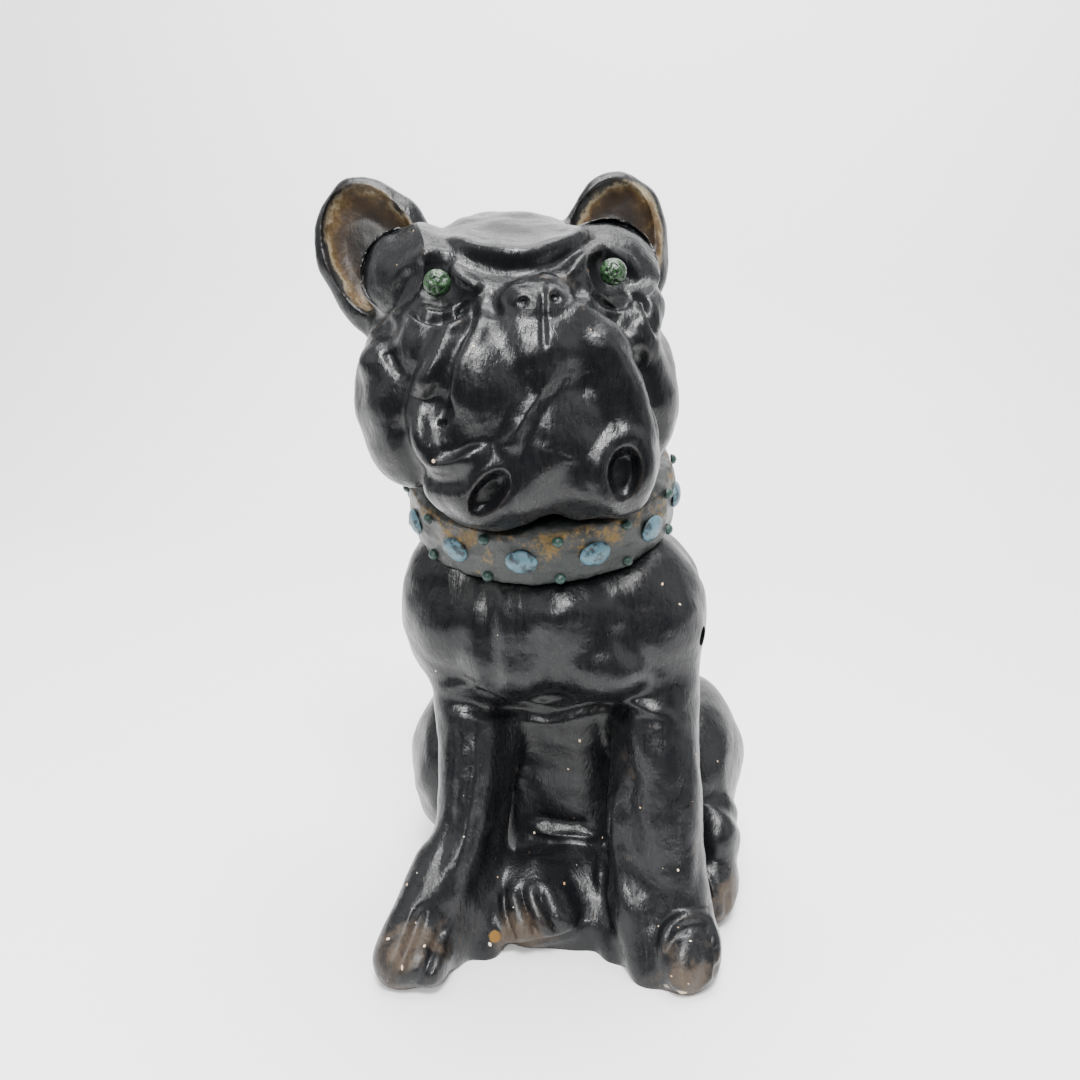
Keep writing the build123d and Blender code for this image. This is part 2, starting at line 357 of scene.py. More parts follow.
BODY_ROLLS = [
    # the back, which leans forwards and to the right as it rises
    [(-1, 33, 36, 44), (-4, 27, 70, 43), (-8, 17, 100, 41)]
    + [(-12, 6, 126, 39), (-16, -2, 150, 35), (-18, -6, 172, 35)],
    # forelegs, each with a thinner inner edge, and the clay that spreads from them on to the slab
    [(43, -37, 14, 13), (36, -30, 48, 13.5), (33, -24, 78, 14.5), (29, -14, 112, 15)],
    [
        (-43, -50, 14, 11),
        (-37, -36, 42, 10.5),
        (-35, -28, 62, 11.5),
        (-37, -21, 84, 13.5),
        (-38, -13, 112, 14),
    ],
    [(31, -34, 12, 12), (26, -26, 45, 11.5), (26, -18, 84, 12)],
    [(-30, -28, 14, 9), (-29, -19, 50, 9), (-27, -13, 84, 11)],
    [(-37, -52, 3, 7), (-33, -40, 18, 9), (-30, -28, 30, 8)],
    [(-26, -45, 1, 6), (-24, -34, 11, 8)],
    [(33, -49, 3, 8), (27, -36, 22, 11)],
    [(22, -38, 1, 7), (18, -26, 12, 10)],
    [(-2, 7, 26, 19), (-2, 6, 60, 19), (-4, 4, 96, 22)],
    [(13, 0, 26, 10), (13, -1, 60, 10), (13, -4, 92, 12)],
    [(-17, 0, 26, 10), (-18, -1, 60, 10), (-20, -4, 92, 12)],
    [(-44, -42, 34, 8), (-49, -52, 21, 9), (-53, -61, 10, 8.5)],
    # toes of the right hind paw, which lie across the mound
    [(-22, -25, 21, 6), (-24, -35, 16, 6), (-22, -43, 8, 5.4)],
    [(-17, -27, 25, 5.6), (-15, -37, 19, 5.6), (-12, -44, 10.5, 5)],
    [(-11, -27, 26, 5.6), (-8, -36, 20, 5.6), (-3.5, -42, 12.5, 5)],
    [(-5, -25, 24, 5.4), (-1, -33, 19, 5.4), (3.5, -38, 12, 4.8)],
]
body_skin = fused("body_clay", BODY_LUMPS, BODY_ROLLS, body_home, 0.9, 26)
body = Clay(body_skin, body_home)

# chest: the breast bulges between two long hollows, over the undercut where the legs begin
body.tool([(-30, 140), (-28.5, 127), (-27, 113), (-25.5, 101), (-24, 95)], 6, 1.6)
body.tool([(-9, 124), (-11, 116), (-10, 104), (-8, 95)], 5, 1.0)
body.tool([(17, 128), (19, 118), (27, 112), (33, 104)], 6, 1.2)
body.thumb((-2, 131), (15, 12), 2.2)
body.thumb((-12, 105), (13, 11), 1.6)
body.thumb((14, 106), (16, 12), 1.8)
body.thumb((21, 139), (12, 9), 1.6)
body.thumb((-45, 118), (13, 18), 1.4)
body.look()
breast_edge = [(-56, 92), (-46, 94), (-37, 97), (-29, 95), (-20, 91.5), (-9, 90)]
breast_edge += [(3, 94), (14, 95), (26, 94), (36, 91), (44, 83)]
body.tool(breast_edge, 3.4, -1.4)
undercut = [(-50, 87), (-38, 90), (-30, 88), (-18, 84), (-8, 83), (4, 87), (16, 89), (28, 87)]
body.tool(undercut, 4.4, 2.6)
body.tool([(-36, 97), (-27, 94), (-18, 88.5), (-10, 86), (-3, 86.5)], 2.2, 1.6, lip=0.6)
# legs: a flat front plane with a worn edge on each side, and the belly's ledge over the mound
body.tool([(-40, 88), (-39.5, 66), (-40, 46), (-44, 28)], 3.2, 0.9)
body.tool([(-33, 84), (-32, 66), (-34, 46), (-37, 32)], 2.4, -0.9)
body.tool([(44, 84), (44.5, 60), (45, 40), (46, 28)], 4, -0.8)
body.tool([(22, 72), (18, 52), (20, 34), (26, 18)], 3.6, -0.9)
body.tool([(-16, 33), (-8, 31.5), (2, 31.8), (9, 31.4), (13, 34)], 2.2, -1.6)
body.tool([(-14, 37), (-2, 36), (9, 36.5)], 3.4, 1.6)
body.tool([(12, 31), (15, 20), (19, 10)], 3, 1.4)
body.look()
# paws: toes of the right forepaw, and the pressed ring and its knob on the left one
body.tool([(-45, 27), (-47.5, 19), (-51, 10), (-54, 3)], 2.6, 1.8, lip=0.4)
body.tool([(-38, 20), (-40.5, 13), (-43, 5)], 2.4, 1.6, lip=0.4)
body.thumb((46.8, 14.5), (9.2, 10.4), -4.2, edge=0.8)
body.look()
body.thumb((45, 11.5), (6.8, 8.2), 3.4, edge=0.8)
ring = [(-1.0, -0.9), (-1.05, 0.0), (-0.75, 0.72), (-0.1, 1.02)]
ring += [(0.6, 0.8), (0.98, 0.2), (0.9, -0.5), (0.5, -1.0)]
body.tool([(46.4 + 9.4 * a, 14.5 + 10.0 * b) for a, b in ring], 2.4, -1.5)
body.tool([(-20.5, 24), (-19.5, 17), (-16.5, 11), (-14.5, 6)], 2.4, 2.4, lip=0.4)
body.tool([(-15, 25), (-11.5, 18.5), (-7.5, 12), (-6, 9)], 2.4, 2.6, lip=0.5)
body.tool([(-9, 25), (-4.5, 18.5), (-0.5, 12), (0, 10)], 2.4, 2.3, lip=0.4)
body.tool([(-24, 4), (-16, 3), (-8, 6), (2, 8), (8, 12), (7, 20)], 2.6, 1.6)
body.tool([(55.8, 18), (56.3, 12), (56, 6)], 1.8, 1.5)
body.tool([(61.0, 18), (61.6, 12), (61, 6)], 1.6, 1.3)
body.look()
# sides and back: thighs, the folded hind legs, the spine and the tail
for side in ("left", "right"):
    body.tool([(10, 72), (0, 60), (-2, 44), (6, 32), (18, 24)], 6, 1.4, view=side)
    body.tool([(20, 15), (40, 14), (60, 17)], 4, 1.2, view=side)
    body.thumb((30, 50), (20, 18), 1.6, view=side)
    body.tool([(-14, 150), (-6, 134), (0, 116), (2, 98)], 6, 1.4, view=side)
body.tool([(-16, 150), (-14, 130), (-10, 105), (-6, 80), (-3, 66)], 6, 1.6, view="back")
body.tool([(-13, 62), (-13, 40), (-10, 20)], 2.4, 1.4, view="back")
body.tool([(9, 62), (9, 40), (7, 20)], 2.4, 1.4, view="back")
body.look()
body.uneven(30, 0.4, 1)
body.uneven(10, 0.08, 2)
body.sponge(0.4, 2)


# ---------------------------------------------------------------- head clay
# The head is built up and worked in the same way, on its own axes: it is turned to its left, looks
# up a little and is tipped to its right. The ears are opened into cups before they are cut off it.
head_home = (
    Matrix.Translation(figure_axis + Vector((-25, -18, 206)) * MM)
    @ Matrix.Rotation(math.radians(13), 4, "Z")
    @ Matrix.Rotation(math.radians(-8), 4, "X")
    @ Matrix.Rotation(math.radians(-6), 4, "Y")
)
HEAD_LUMPS = [
    # skull, brows and neck
    ((0, 8, 7), (48, 40, 47), (0, 0, 0)),
    ((2, -8, 17), (43, 31, 32), (0, 0, 0)),
    ((34, -8, 30), (17, 22, 17), (0, 0, 0)),
    ((-30, -8, 33), (18, 23, 16), (0, 0, 0)),
    ((2, 12, -30), (40, 35, 24), (22, 0, 0)),
    # muzzle, chin and jaw
    ((4, -26, 3), (27, 26, 23), (0, 0, 0)),
    ((5, -25, -22), (30, 25, 26), (0, 0, 0)),
    ((-11, -27, -33), (23, 22, 18), (0, 0, 0)),
    ((21, -28, -33), (20, 21, 18), (0, 0, 0)),
    # cheeks, flews and the folds beside the eyes
    ((-35, -8, -8), (18.5, 25, 29), (0, 0, 0)),
    ((36, -8, -10), (18, 24, 28), (0, 0, 0)),
    ((-13, -35, -5), (18, 18.5, 22), (0, -14, 0)),
    ((-24, -33, -18), (13, 13, 12), (0, 0, 0)),
    ((-30, -30, 8), (8, 9, 12), (0, 0, 0)),
    ((-43, -20, 4), (8, 9, 9), (0, 0, 0)),
    ((37, -28, 6), (8, 8, 10), (0, 0, 0)),
    ((41, -21, 15), (8, 9.5, 9), (0, 0, 0)),
    # ears
    ((40, 12, 37), (21, 9, 30), (0, 14, 10)),
    ((-41, 12, 41), (21, 9, 30), (0, -18, -10)),
]
HEAD_ROLLS = [
    # the long flew on its left side
    [(14, -41, 10, 9), (22, -40, 2, 10), (27, -37, -10, 11), (29, -35, -22, 11.5), (29, -34, -32, 12)],
]
head_skin = fused("head_clay", HEAD_LUMPS, HEAD_ROLLS, head_home, 0.6, 42)
head = Clay(head_skin, head_home)

# ears: deep cups that face forwards and a little outwards
head.dish((38, 39.5), (15.5, 23.5), 9, -14)
head.dish((-43.5, 43.5), (15.5, 23.5), 9, 18)
# big pressings: eye sockets, the dished forehead, the nose and the lips
head.thumb((-24, 25), (10, 9.5), -2.4)
head.thumb((30.5, 26), (10, 10), -2.8)
head.thumb((3, 44), (20, 8), -3.0)
head.thumb((4.8, 19.6), (12.5, 8), 3.4, edge=1.5)
head.thumb((5, 3), (14, 10), 1.6)
head.thumb((-41.5, 15.6), (4.5, 5), -2.4)
head.look()
brow = [(-23, 43.5), (-14, 37.5), (-5, 34.2), (3, 33.3), (15, 35.6), (24, 40), (30, 45)]
head.tool(brow, 4.2, -2.6)
head.tool([(-22, 36), (-11, 29.5), (1, 28), (12, 29.5), (23, 35)], 5.0, 2.0)
head.tool([(-20, 32), (-15.5, 26.5), (-10.5, 22.6)], 3.0, -1.6)
head.tool([(14.5, 24), (19, 29), (25, 33.5), (32, 34.5)], 3.2, -1.8)
head.tool([(-13.5, 27), (-17, 33.5), (-25, 36), (-33, 33), (-38, 26)], 4.0, -1.2)
head.tool([(23, 34), (31, 35.5), (38, 31), (41.5, 24)], 3.4, -1.4)
head.thumb((-8.6, 17), (4, 5), -1.8)
head.thumb((17.6, 19.5), (4, 5), -1.8)
head.look()
# the flew on its right side: a long crease down to a pocket, and the bag that hangs round it
head.tool([(-13, 23), (-16.3, 14), (-20.8, 8), (-25, 0.5), (-27, -8.5), (-26.8, -16)], 3.6, 3.4, lip=0.7)
head.thumb((-28.4, -13), (5.6, 10.5), -3.0)
head.look()
bag = [(-26, 6), (-31, -3), (-34.5, -12), (-34.2, -20)]
bag += [(-30.5, -26), (-24.5, -28.3), (-17, -25.5), (-12, -18)]
head.tool(bag, 4.4, -3.2)
head.tool([(-39, -10), (-39.5, -20), (-35.5, -30), (-27, -34), (-19, -31.5)], 4.6, 1.8)
head.tool([(-10, -29), (-5, -19), (2, -9), (7, -1)], 5.4, -2.8)
# the flew on its left side: one long roll, with a groove outside it
head.look()
head.tool([(16, 9), (24, 3), (30, -6), (33.5, -18), (36, -30)], 4.6, -0.9)
head.tool([(33, 5), (38, -5), (41, -15), (42.5, -24), (43, -33)], 5.0, 2.6)
head.look()
# the pits at the corners of the jaw, each with a raised rim
head.thumb((-14.5, -37.5), (12, 8), -1.8, turn=50)
head.dish((-14.9, -37.8), (8.4, 4.8), 5.5, 50)
head.thumb((26.9, -35.6), (8, 11.5), -1.6, turn=-8)
head.dish((26.9, -35.6), (5.6, 8.6), 5.5, -8)
rim = [(math.cos(a / 8 * math.pi), math.sin(a / 8 * math.pi)) for a in range(17)]
head.tool([(26.9 + 8.6 * c, -35.8 + 11.8 * s) for c, s in rim], 4.6, -1.1, taper=False)
# nose: wings, nostrils and the cleft of the lip
head.look()
head.thumb((-0.4, 19.4), (4.8, 4.4), 1.4)
head.thumb((9.8, 20.2), (5.0, 4.8), 1.5)
head.look()
head.thumb((0.0, 17.4), (2.2, 2.0), -2.0)
head.thumb((9.6, 18.0), (2.3, 2.0), -2.0)
head.tool([(-6, 14), (-5.2, 19.5), (-1.6, 23.2), (2.8, 24.4), (5.2, 23)], 1.5, -0.9)
head.tool([(5.2, 23), (8.2, 25.4), (12, 24.2), (14.8, 20.5), (15.2, 15.5)], 1.5, -0.9)
head.tool([(6.4, 23.5), (5.6, 15), (4.8, 7), (4.4, 2)], 1.7, 1.2)
# eyelids, and the folds round the eyes, cheeks and jaw
head.tool([(-31.5, 22), (-30, 17.2), (-24.3, 14.9), (-18.5, 16.4), (-16, 21)], 2.3, 2.4, lip=0.8)
head.tool([(23.5, 22), (25.5, 18), (30.5, 16.2), (35.5, 17.6), (37.6, 22)], 2.2, 2.2, lip=0.8)
head.tool([(-32, 33), (-36.5, 27), (-40.5, 22), (-44, 18)], 2.8, 1.6)
head.tool([(-41, 9), (-39.5, 3), (-36.5, -2)], 3.0, 1.4)
head.tool([(37.5, 22), (38.7, 18), (41, 12), (44.5, 4)], 2.2, 1.8, lip=0.5)
head.look()
# a pinhole at the end of the crease, and three scratches on the chin
head.thumb((-26.8, -15.8), (1.3, 1.3), -3.0)
for start, end in (((2, -26), (8, -28)), ((3, -28), (11, -30)), ((4, -25.4), (12, -27.6))):
    head.tool([start, ((start[0] + end[0]) / 2, start[1] - 0.4), end], 0.7, 0.3)
# the back of the head: the nape between two pads of muscle
head.tool([(2, 46), (3, 30), (3, 10), (3, -12)], 7, 1.6, view="back")
head.look()
head.uneven(16, 0.3, 3)
head.uneven(6, 0.04, 4)
head.sponge(0.3, 1)

# ---------------------------------------------------------------- glazes
# One glossy black, brushed on over the bare clay: it is streaky and lumpy, thin and brown on the
# ridges, and chipped to pale specks where the figure is handled and near the floor.
def glazed(name, specks, marks=()):
    """A black brushed glaze that is rubbed brown near the floor; specks is the share of chipped cells.

    marks are (place in millimetres from the figure's axis, radius, hex colour) chips and dabs.
    """
    made, tree, surface = shader(name)
    spot = add(tree, "ShaderNodeTexCoord", {}).outputs["Object"]
    # the brush: streaks about a millimetre wide and a centimetre long, which wander
    wander = add(tree, "ShaderNodeTexNoise", {"Vector": spot, "Scale": 45.0, "Detail": 2.0})
    sway = add(
        tree,
        "ShaderNodeVectorMath",
        {0: wander.outputs["Color"], 1: (0.012, 0.012, 0.012)},
        operation="MULTIPLY",
    )
    swept = add(tree, "ShaderNodeVectorMath", {0: spot, 1: sway.outputs[0]}, operation="ADD")
    drawn = add(
        tree, "ShaderNodeVectorMath", {0: swept.outputs[0], 1: (900.0, 900.0, 90.0)}, operation="MULTIPLY"
    )
    brush = add(
        tree,
        "ShaderNodeTexNoise",
        {"Vector": drawn.outputs[0], "Scale": 1.0, "Detail": 3.0, "Roughness": 0.6},
    )
    # lumps in the glaze about 3 mm across, and patches about 17 mm across where the coat varies
    lumps = add(
        tree, "ShaderNodeTexNoise", {"Vector": spot, "Scale": 330.0, "Detail": 4.0, "Roughness": 0.55}
    )
    patches = add(
        tree, "ShaderNodeTexNoise", {"Vector": spot, "Scale": 60.0, "Detail": 5.0, "Roughness": 0.65}
    )
    # chips: a cell every 5 mm, a few of which hold a speck up to 0.6 mm in radius
    cells = add(tree, "ShaderNodeTexVoronoi", {"Vector": swept.outputs[0], "Scale": 200.0})
    chance = add(tree, "ShaderNodeSeparateColor", {"Color": cells.outputs["Color"]})
    high = add(tree, "ShaderNodeSeparateXYZ", {"Vector": spot})
    low_down = add(
        tree,
        "ShaderNodeMapRange",
        {"Value": high.outputs["Z"], "From Min": 0.02, "From Max": 0.07, "To Min": 1.0, "To Max": 0.16},
    )
    share = add(tree, "ShaderNodeMath", {0: low_down.outputs[0], 1: specks}, operation="MULTIPLY")
    chosen = add(
        tree, "ShaderNodeMath", {0: chance.outputs["Red"], 1: share.outputs[0]}, operation="LESS_THAN"
    )
    reach = add(
        tree, "ShaderNodeMapRange", {"Value": chance.outputs["Green"], "To Min": 0.03, "To Max": 0.12}
    )
    inside = add(
        tree, "ShaderNodeMath", {0: cells.outputs["Distance"], 1: reach.outputs[0]}, operation="LESS_THAN"
    )
    chip = add(
        tree, "ShaderNodeMath", {0: chosen.outputs[0], 1: inside.outputs[0]}, operation="MULTIPLY"
    ).outputs[0]
    # colour: black, brown where it has rubbed thin, then the chips and the marks
    foot = 0.0
    for place, size in (((-50, -62, 8), 30), ((46, -60, 8), 20), ((-14, -42, 8), 17), ((60, -14, 10), 18)):
        paw = figure_axis + Vector(place) * MM
        apart = add(tree, "ShaderNodeVectorMath", {0: spot, 1: paw}, operation="DISTANCE").outputs["Value"]
        close = add(
            tree,
            "ShaderNodeMapRange",
            {"Value": apart, "From Min": size * MM, "From Max": 0.0, "To Max": 0.42},
        ).outputs[0]
        foot = add(tree, "ShaderNodeMath", {0: foot, 1: close}, operation="MAXIMUM").outputs[0]
    rub = add(tree, "ShaderNodeMath", {0: patches.outputs["Fac"], 1: foot}, operation="ADD")
    worn = add(tree, "ShaderNodeMapRange", {"Value": rub.outputs[0], "From Min": 0.66, "From Max": 0.80})
    ridge = add(tree, "ShaderNodeNewGeometry", {})
    proud = add(
        tree,
        "ShaderNodeMapRange",
        {"Value": ridge.outputs["Pointiness"], "From Min": 0.53, "From Max": 0.62, "To Max": 0.5},
    )
    rubbed = add(tree, "ShaderNodeMath", {0: worn.outputs[0], 1: proud.outputs[0]}, operation="MAXIMUM")
    thin = add(
        tree,
        "ShaderNodeMath",
        {0: rubbed.outputs[0], 1: brush.outputs["Fac"]},
        operation="MULTIPLY",
        use_clamp=True,
    )
    black = add(
        tree,
        "ShaderNodeMix",
        {0: patches.outputs["Fac"], 6: paint("08090b"), 7: paint("131416")},
        data_type="RGBA",
    )
    brown = add(
        tree,
        "ShaderNodeMix",
        {0: thin.outputs[0], 6: black.outputs[2], 7: paint("54473a")},
        data_type="RGBA",
    )
    tint = add(
        tree,
        "ShaderNodeMix",
        {0: chance.outputs["Blue"], 6: paint("d8d0bf"), 7: paint("b98e66")},
        data_type="RGBA",
    )
    colour = add(
        tree, "ShaderNodeMix", {0: chip, 6: brown.outputs[2], 7: tint.outputs[2]}, data_type="RGBA"
    ).outputs[2]
    # the edges of a mark are torn: its points are moved by up to this far along each axis
    tear = Vector((3.5, 3.5, 3.5)) * MM
    ragged = add(tree, "ShaderNodeVectorMath", {0: lumps.outputs["Color"], 1: tear}, operation="MULTIPLY")
    torn = add(tree, "ShaderNodeVectorMath", {0: spot, 1: ragged.outputs[0]}, operation="ADD")
    for place, radius, code in marks:
        centre = figure_axis + Vector(place) * MM + tear / 2
        far = add(tree, "ShaderNodeVectorMath", {0: torn.outputs[0], 1: centre}, operation="DISTANCE")
        near = add(
            tree,
            "ShaderNodeMapRange",
            {"Value": far.outputs["Value"], "From Min": radius * MM, "From Max": 0.8 * radius * MM},
        )
        colour = add(
            tree, "ShaderNodeMix", {0: near.outputs[0], 6: colour, 7: paint(code)}, data_type="RGBA"
        ).outputs[2]
        chip = add(tree, "ShaderNodeMath", {0: chip, 1: near.outputs[0]}, operation="MAXIMUM").outputs[0]
    tree.links.new(colour, surface.inputs["Base Color"])
    # gloss: glassy between the streaks, dull on rubbed and chipped places
    gloss = add(
        tree,
        "ShaderNodeMapRange",
        {"Value": brush.outputs["Fac"], "From Min": 0.3, "From Max": 0.8, "To Min": 0.24, "To Max": 0.42},
    )
    dull = add(
        tree,
        "ShaderNodeMath",
        {0: thin.outputs[0], 1: 0.5, 2: gloss.outputs[0]},
        operation="MULTIPLY_ADD",
        use_clamp=True,
    )
    matt = add(tree, "ShaderNodeMix", {0: chip, 2: dull.outputs[0], 3: 0.75})
    tree.links.new(matt.outputs[0], surface.inputs["Roughness"])
    surface.inputs["IOR"].default_value = 1.47
    surface.inputs["Specular IOR Level"].default_value = 0.36
    # relief: brush marks, lumps of glaze, and chips that go through it
    rough = add(
        tree, "ShaderNodeBump", {"Height": lumps.outputs["Fac"], "Distance": 0.00045, "Strength": 0.6}
    )
    lined = add(
        tree,
        "ShaderNodeBump",
        {"Height": brush.outputs["Fac"], "Distance": 0.00022, "Strength": 0.7, "Normal": rough.outputs[0]},
    )
    pitted = add(
        tree,
        "ShaderNodeBump",
        {"Height": chip, "Distance": 0.0003, "Strength": 0.6, "Normal": lined.outputs[0]},
        invert=True,
    )
    tree.links.new(pitted.outputs[0], surface.inputs["Normal"])
    return made


# glossy black glaze over the whole figure, with two chips in the right shoulder
black_glaze = glazed(
    "black_glaze", 0.6, [((-45, -33, 128), 1.0, "b07a5c"), ((-54, -25, 124), 0.8, "b07a5c")]
)
# the same glaze on the paws, rubbed brown and chipped, with a gold claw and bare clay at the toes
gold_claw = ((-22, -48, 9), 2.6, "6a4c1e")
bare_toes = [
    ((-35.5, -66, 15), 1.7, "c9a57c"), ((37.5, -60, 2), 3.2, "cabfae"), ((44, -61, 2), 2.6, "bdb09c")
]
worn_glaze = glazed("worn_black_glaze", 0.42, [gold_claw, *bare_toes])


# ---------------------------------------------------------------- cutting the clay
# The figure is cut where the potter joined it: torso and head in front and back halves, with the
# legs, haunches, paws, tail, slab, ears and nose apart. The cut faces meet and are never seen.
def block(low, high, home):
    """A block from low to high in millimetres, along the axes of home, to cut with."""
    form = bmesh.new()
    middle = (Vector(low) + Vector(high)) / 2 * MM
    sides = (Vector(high) - Vector(low)) * MM
    where = home @ Matrix.Translation(middle) @ Matrix.Diagonal((*sides, 1.0))
    bmesh.ops.create_cube(form, size=1.0, matrix=where)
    mesh = bpy.data.meshes.new("block")
    form.to_mesh(mesh)
    form.free()
    knife = bpy.data.objects.new("block", mesh)
    bpy.context.scene.collection.objects.link(knife)
    return knife


def carve(skin, knife, operation):
    """What is left of a skin after it is cut with a knife: INTERSECT keeps the inside of it."""
    whole = bpy.data.objects.new("clay", skin)
    bpy.context.scene.collection.objects.link(whole)
    saw = whole.modifiers.new("saw", "BOOLEAN")
    saw.operation = operation
    saw.solver = "MANIFOLD"
    saw.object = knife
    left = bpy.data.meshes.new_from_object(whole.evaluated_get(bpy.context.evaluated_depsgraph_get()))
    bpy.data.objects.remove(whole)
    return left


def finish(skin, name, material):
    """Makes a cut skin into the piece of a node: smooth, and sharp only round its cut faces."""
    skin.name = name
    skin.materials.clear()
    skin.materials.append(material)
    skin.polygons.foreach_set("use_smooth", [True] * len(skin.polygons))
    skin.set_sharp_from_angle(angle=math.radians(62))
    piece = bpy.data.objects.new(f"{name}_glazed", skin)
    bpy.context.scene.collection.objects.link(piece)
    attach(piece, "root")
    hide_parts(name)


def part_out(skin, name, low, high, home, material):
    """Cuts one piece off a skin, finishes it under the name of its node, and returns the rest."""
    knife = block(low, high, home)
    off = carve(skin, knife, "INTERSECT")
    rest = carve(skin, knife, "DIFFERENCE")
    bpy.data.objects.remove(knife)
    finish(off, name, material)
    return rest


collar_home = (
    Matrix.Translation(figure_axis + Vector((-15, -7, 163)) * MM)
    @ Matrix.Rotation(math.radians(22), 4, "X")
    @ Matrix.Rotation(math.radians(-3.3), 4, "Y")
)
body.look()
head.look()
floor_knife = block((-200, -200, 0), (200, 200, 400), body_home)
rest = carve(body.skin, floor_knife, "INTERSECT")
neck_knife = block((-200, -200, -400), (200, 200, 0), collar_home)
rest = carve(rest, neck_knife, "INTERSECT")
head_rest = carve(head.skin, neck_knife, "DIFFERENCE")
bpy.data.objects.remove(floor_knife)
bpy.data.objects.remove(neck_knife)
# the firing vent in the left shoulder, drilled at a slant, and the pour hole in the underside
for hole, place, turn, radius, deep in (
    ("vent", (40, -17, 117), (90, -30), 3.6, 22),
    ("pour_hole", (0, 33, 5), (0, 0), 11, 16),
):
    bore = bmesh.new()
    where = body_home @ Matrix.Translation(Vector(place) * MM)
    where = where @ Matrix.Rotation(math.radians(turn[1]), 4, "Z")
    where = where @ Matrix.Rotation(math.radians(turn[0]), 4, "Y")
    where = where @ Matrix.Diagonal((radius * MM, radius * MM, deep * MM, 1.0))
    bmesh.ops.create_cone(bore, cap_ends=True, segments=48, radius1=1, radius2=1, depth=1, matrix=where)
    bore_mesh = bpy.data.meshes.new(hole)
    bore.to_mesh(bore_mesh)
    bore.free()
    drill = bpy.data.objects.new(hole, bore_mesh)
    bpy.context.scene.collection.objects.link(drill)
    rest = carve(rest, drill, "DIFFERENCE")
    bpy.data.objects.remove(drill)
for name, low, high, glaze, slot in (
    ("forepaw_left", (32, -90, -1), (64, -34, 25), worn_glaze, "worn_black_glaze"),
    ("forepaw_right", (-80, -90, -1), (-33.5, -40, 25), worn_glaze, "worn_black_glaze"),
    ("hind_paw_left", (42, -34, -1), (90, 30, 25), worn_glaze, "worn_black_glaze"),
    ("hind_paw_right", (-29, -70, 3), (7, -20, 34), worn_glaze, "worn_black_glaze"),
    ("foreleg_left", (12, -90, 12), (52, -17, 88), black_glaze, "black_glaze"),
    ("foreleg_right", (-80, -90, 12), (-22, -17, 87), black_glaze, "black_glaze"),
    ("haunch_left", (34, -17, 12), (90, 90, 92), black_glaze, "black_glaze"),
    ("haunch_right", (-90, -17, 12), (-36, 90, 88), black_glaze, "black_glaze"),
    ("tail_stub", (-14, 68, 12), (10, 120, 72), black_glaze, "black_glaze"),
    ("base_slab", (-120, -120, -1), (120, 120, 12), black_glaze, "black_glaze"),
    ("body_front_shell", (-120, -120, -1), (120, 6, 400), black_glaze, "black_glaze"),
):
    rest = part_out(rest, name, low, high, body_home, glaze)
finish(rest, "body_back_shell", black_glaze)


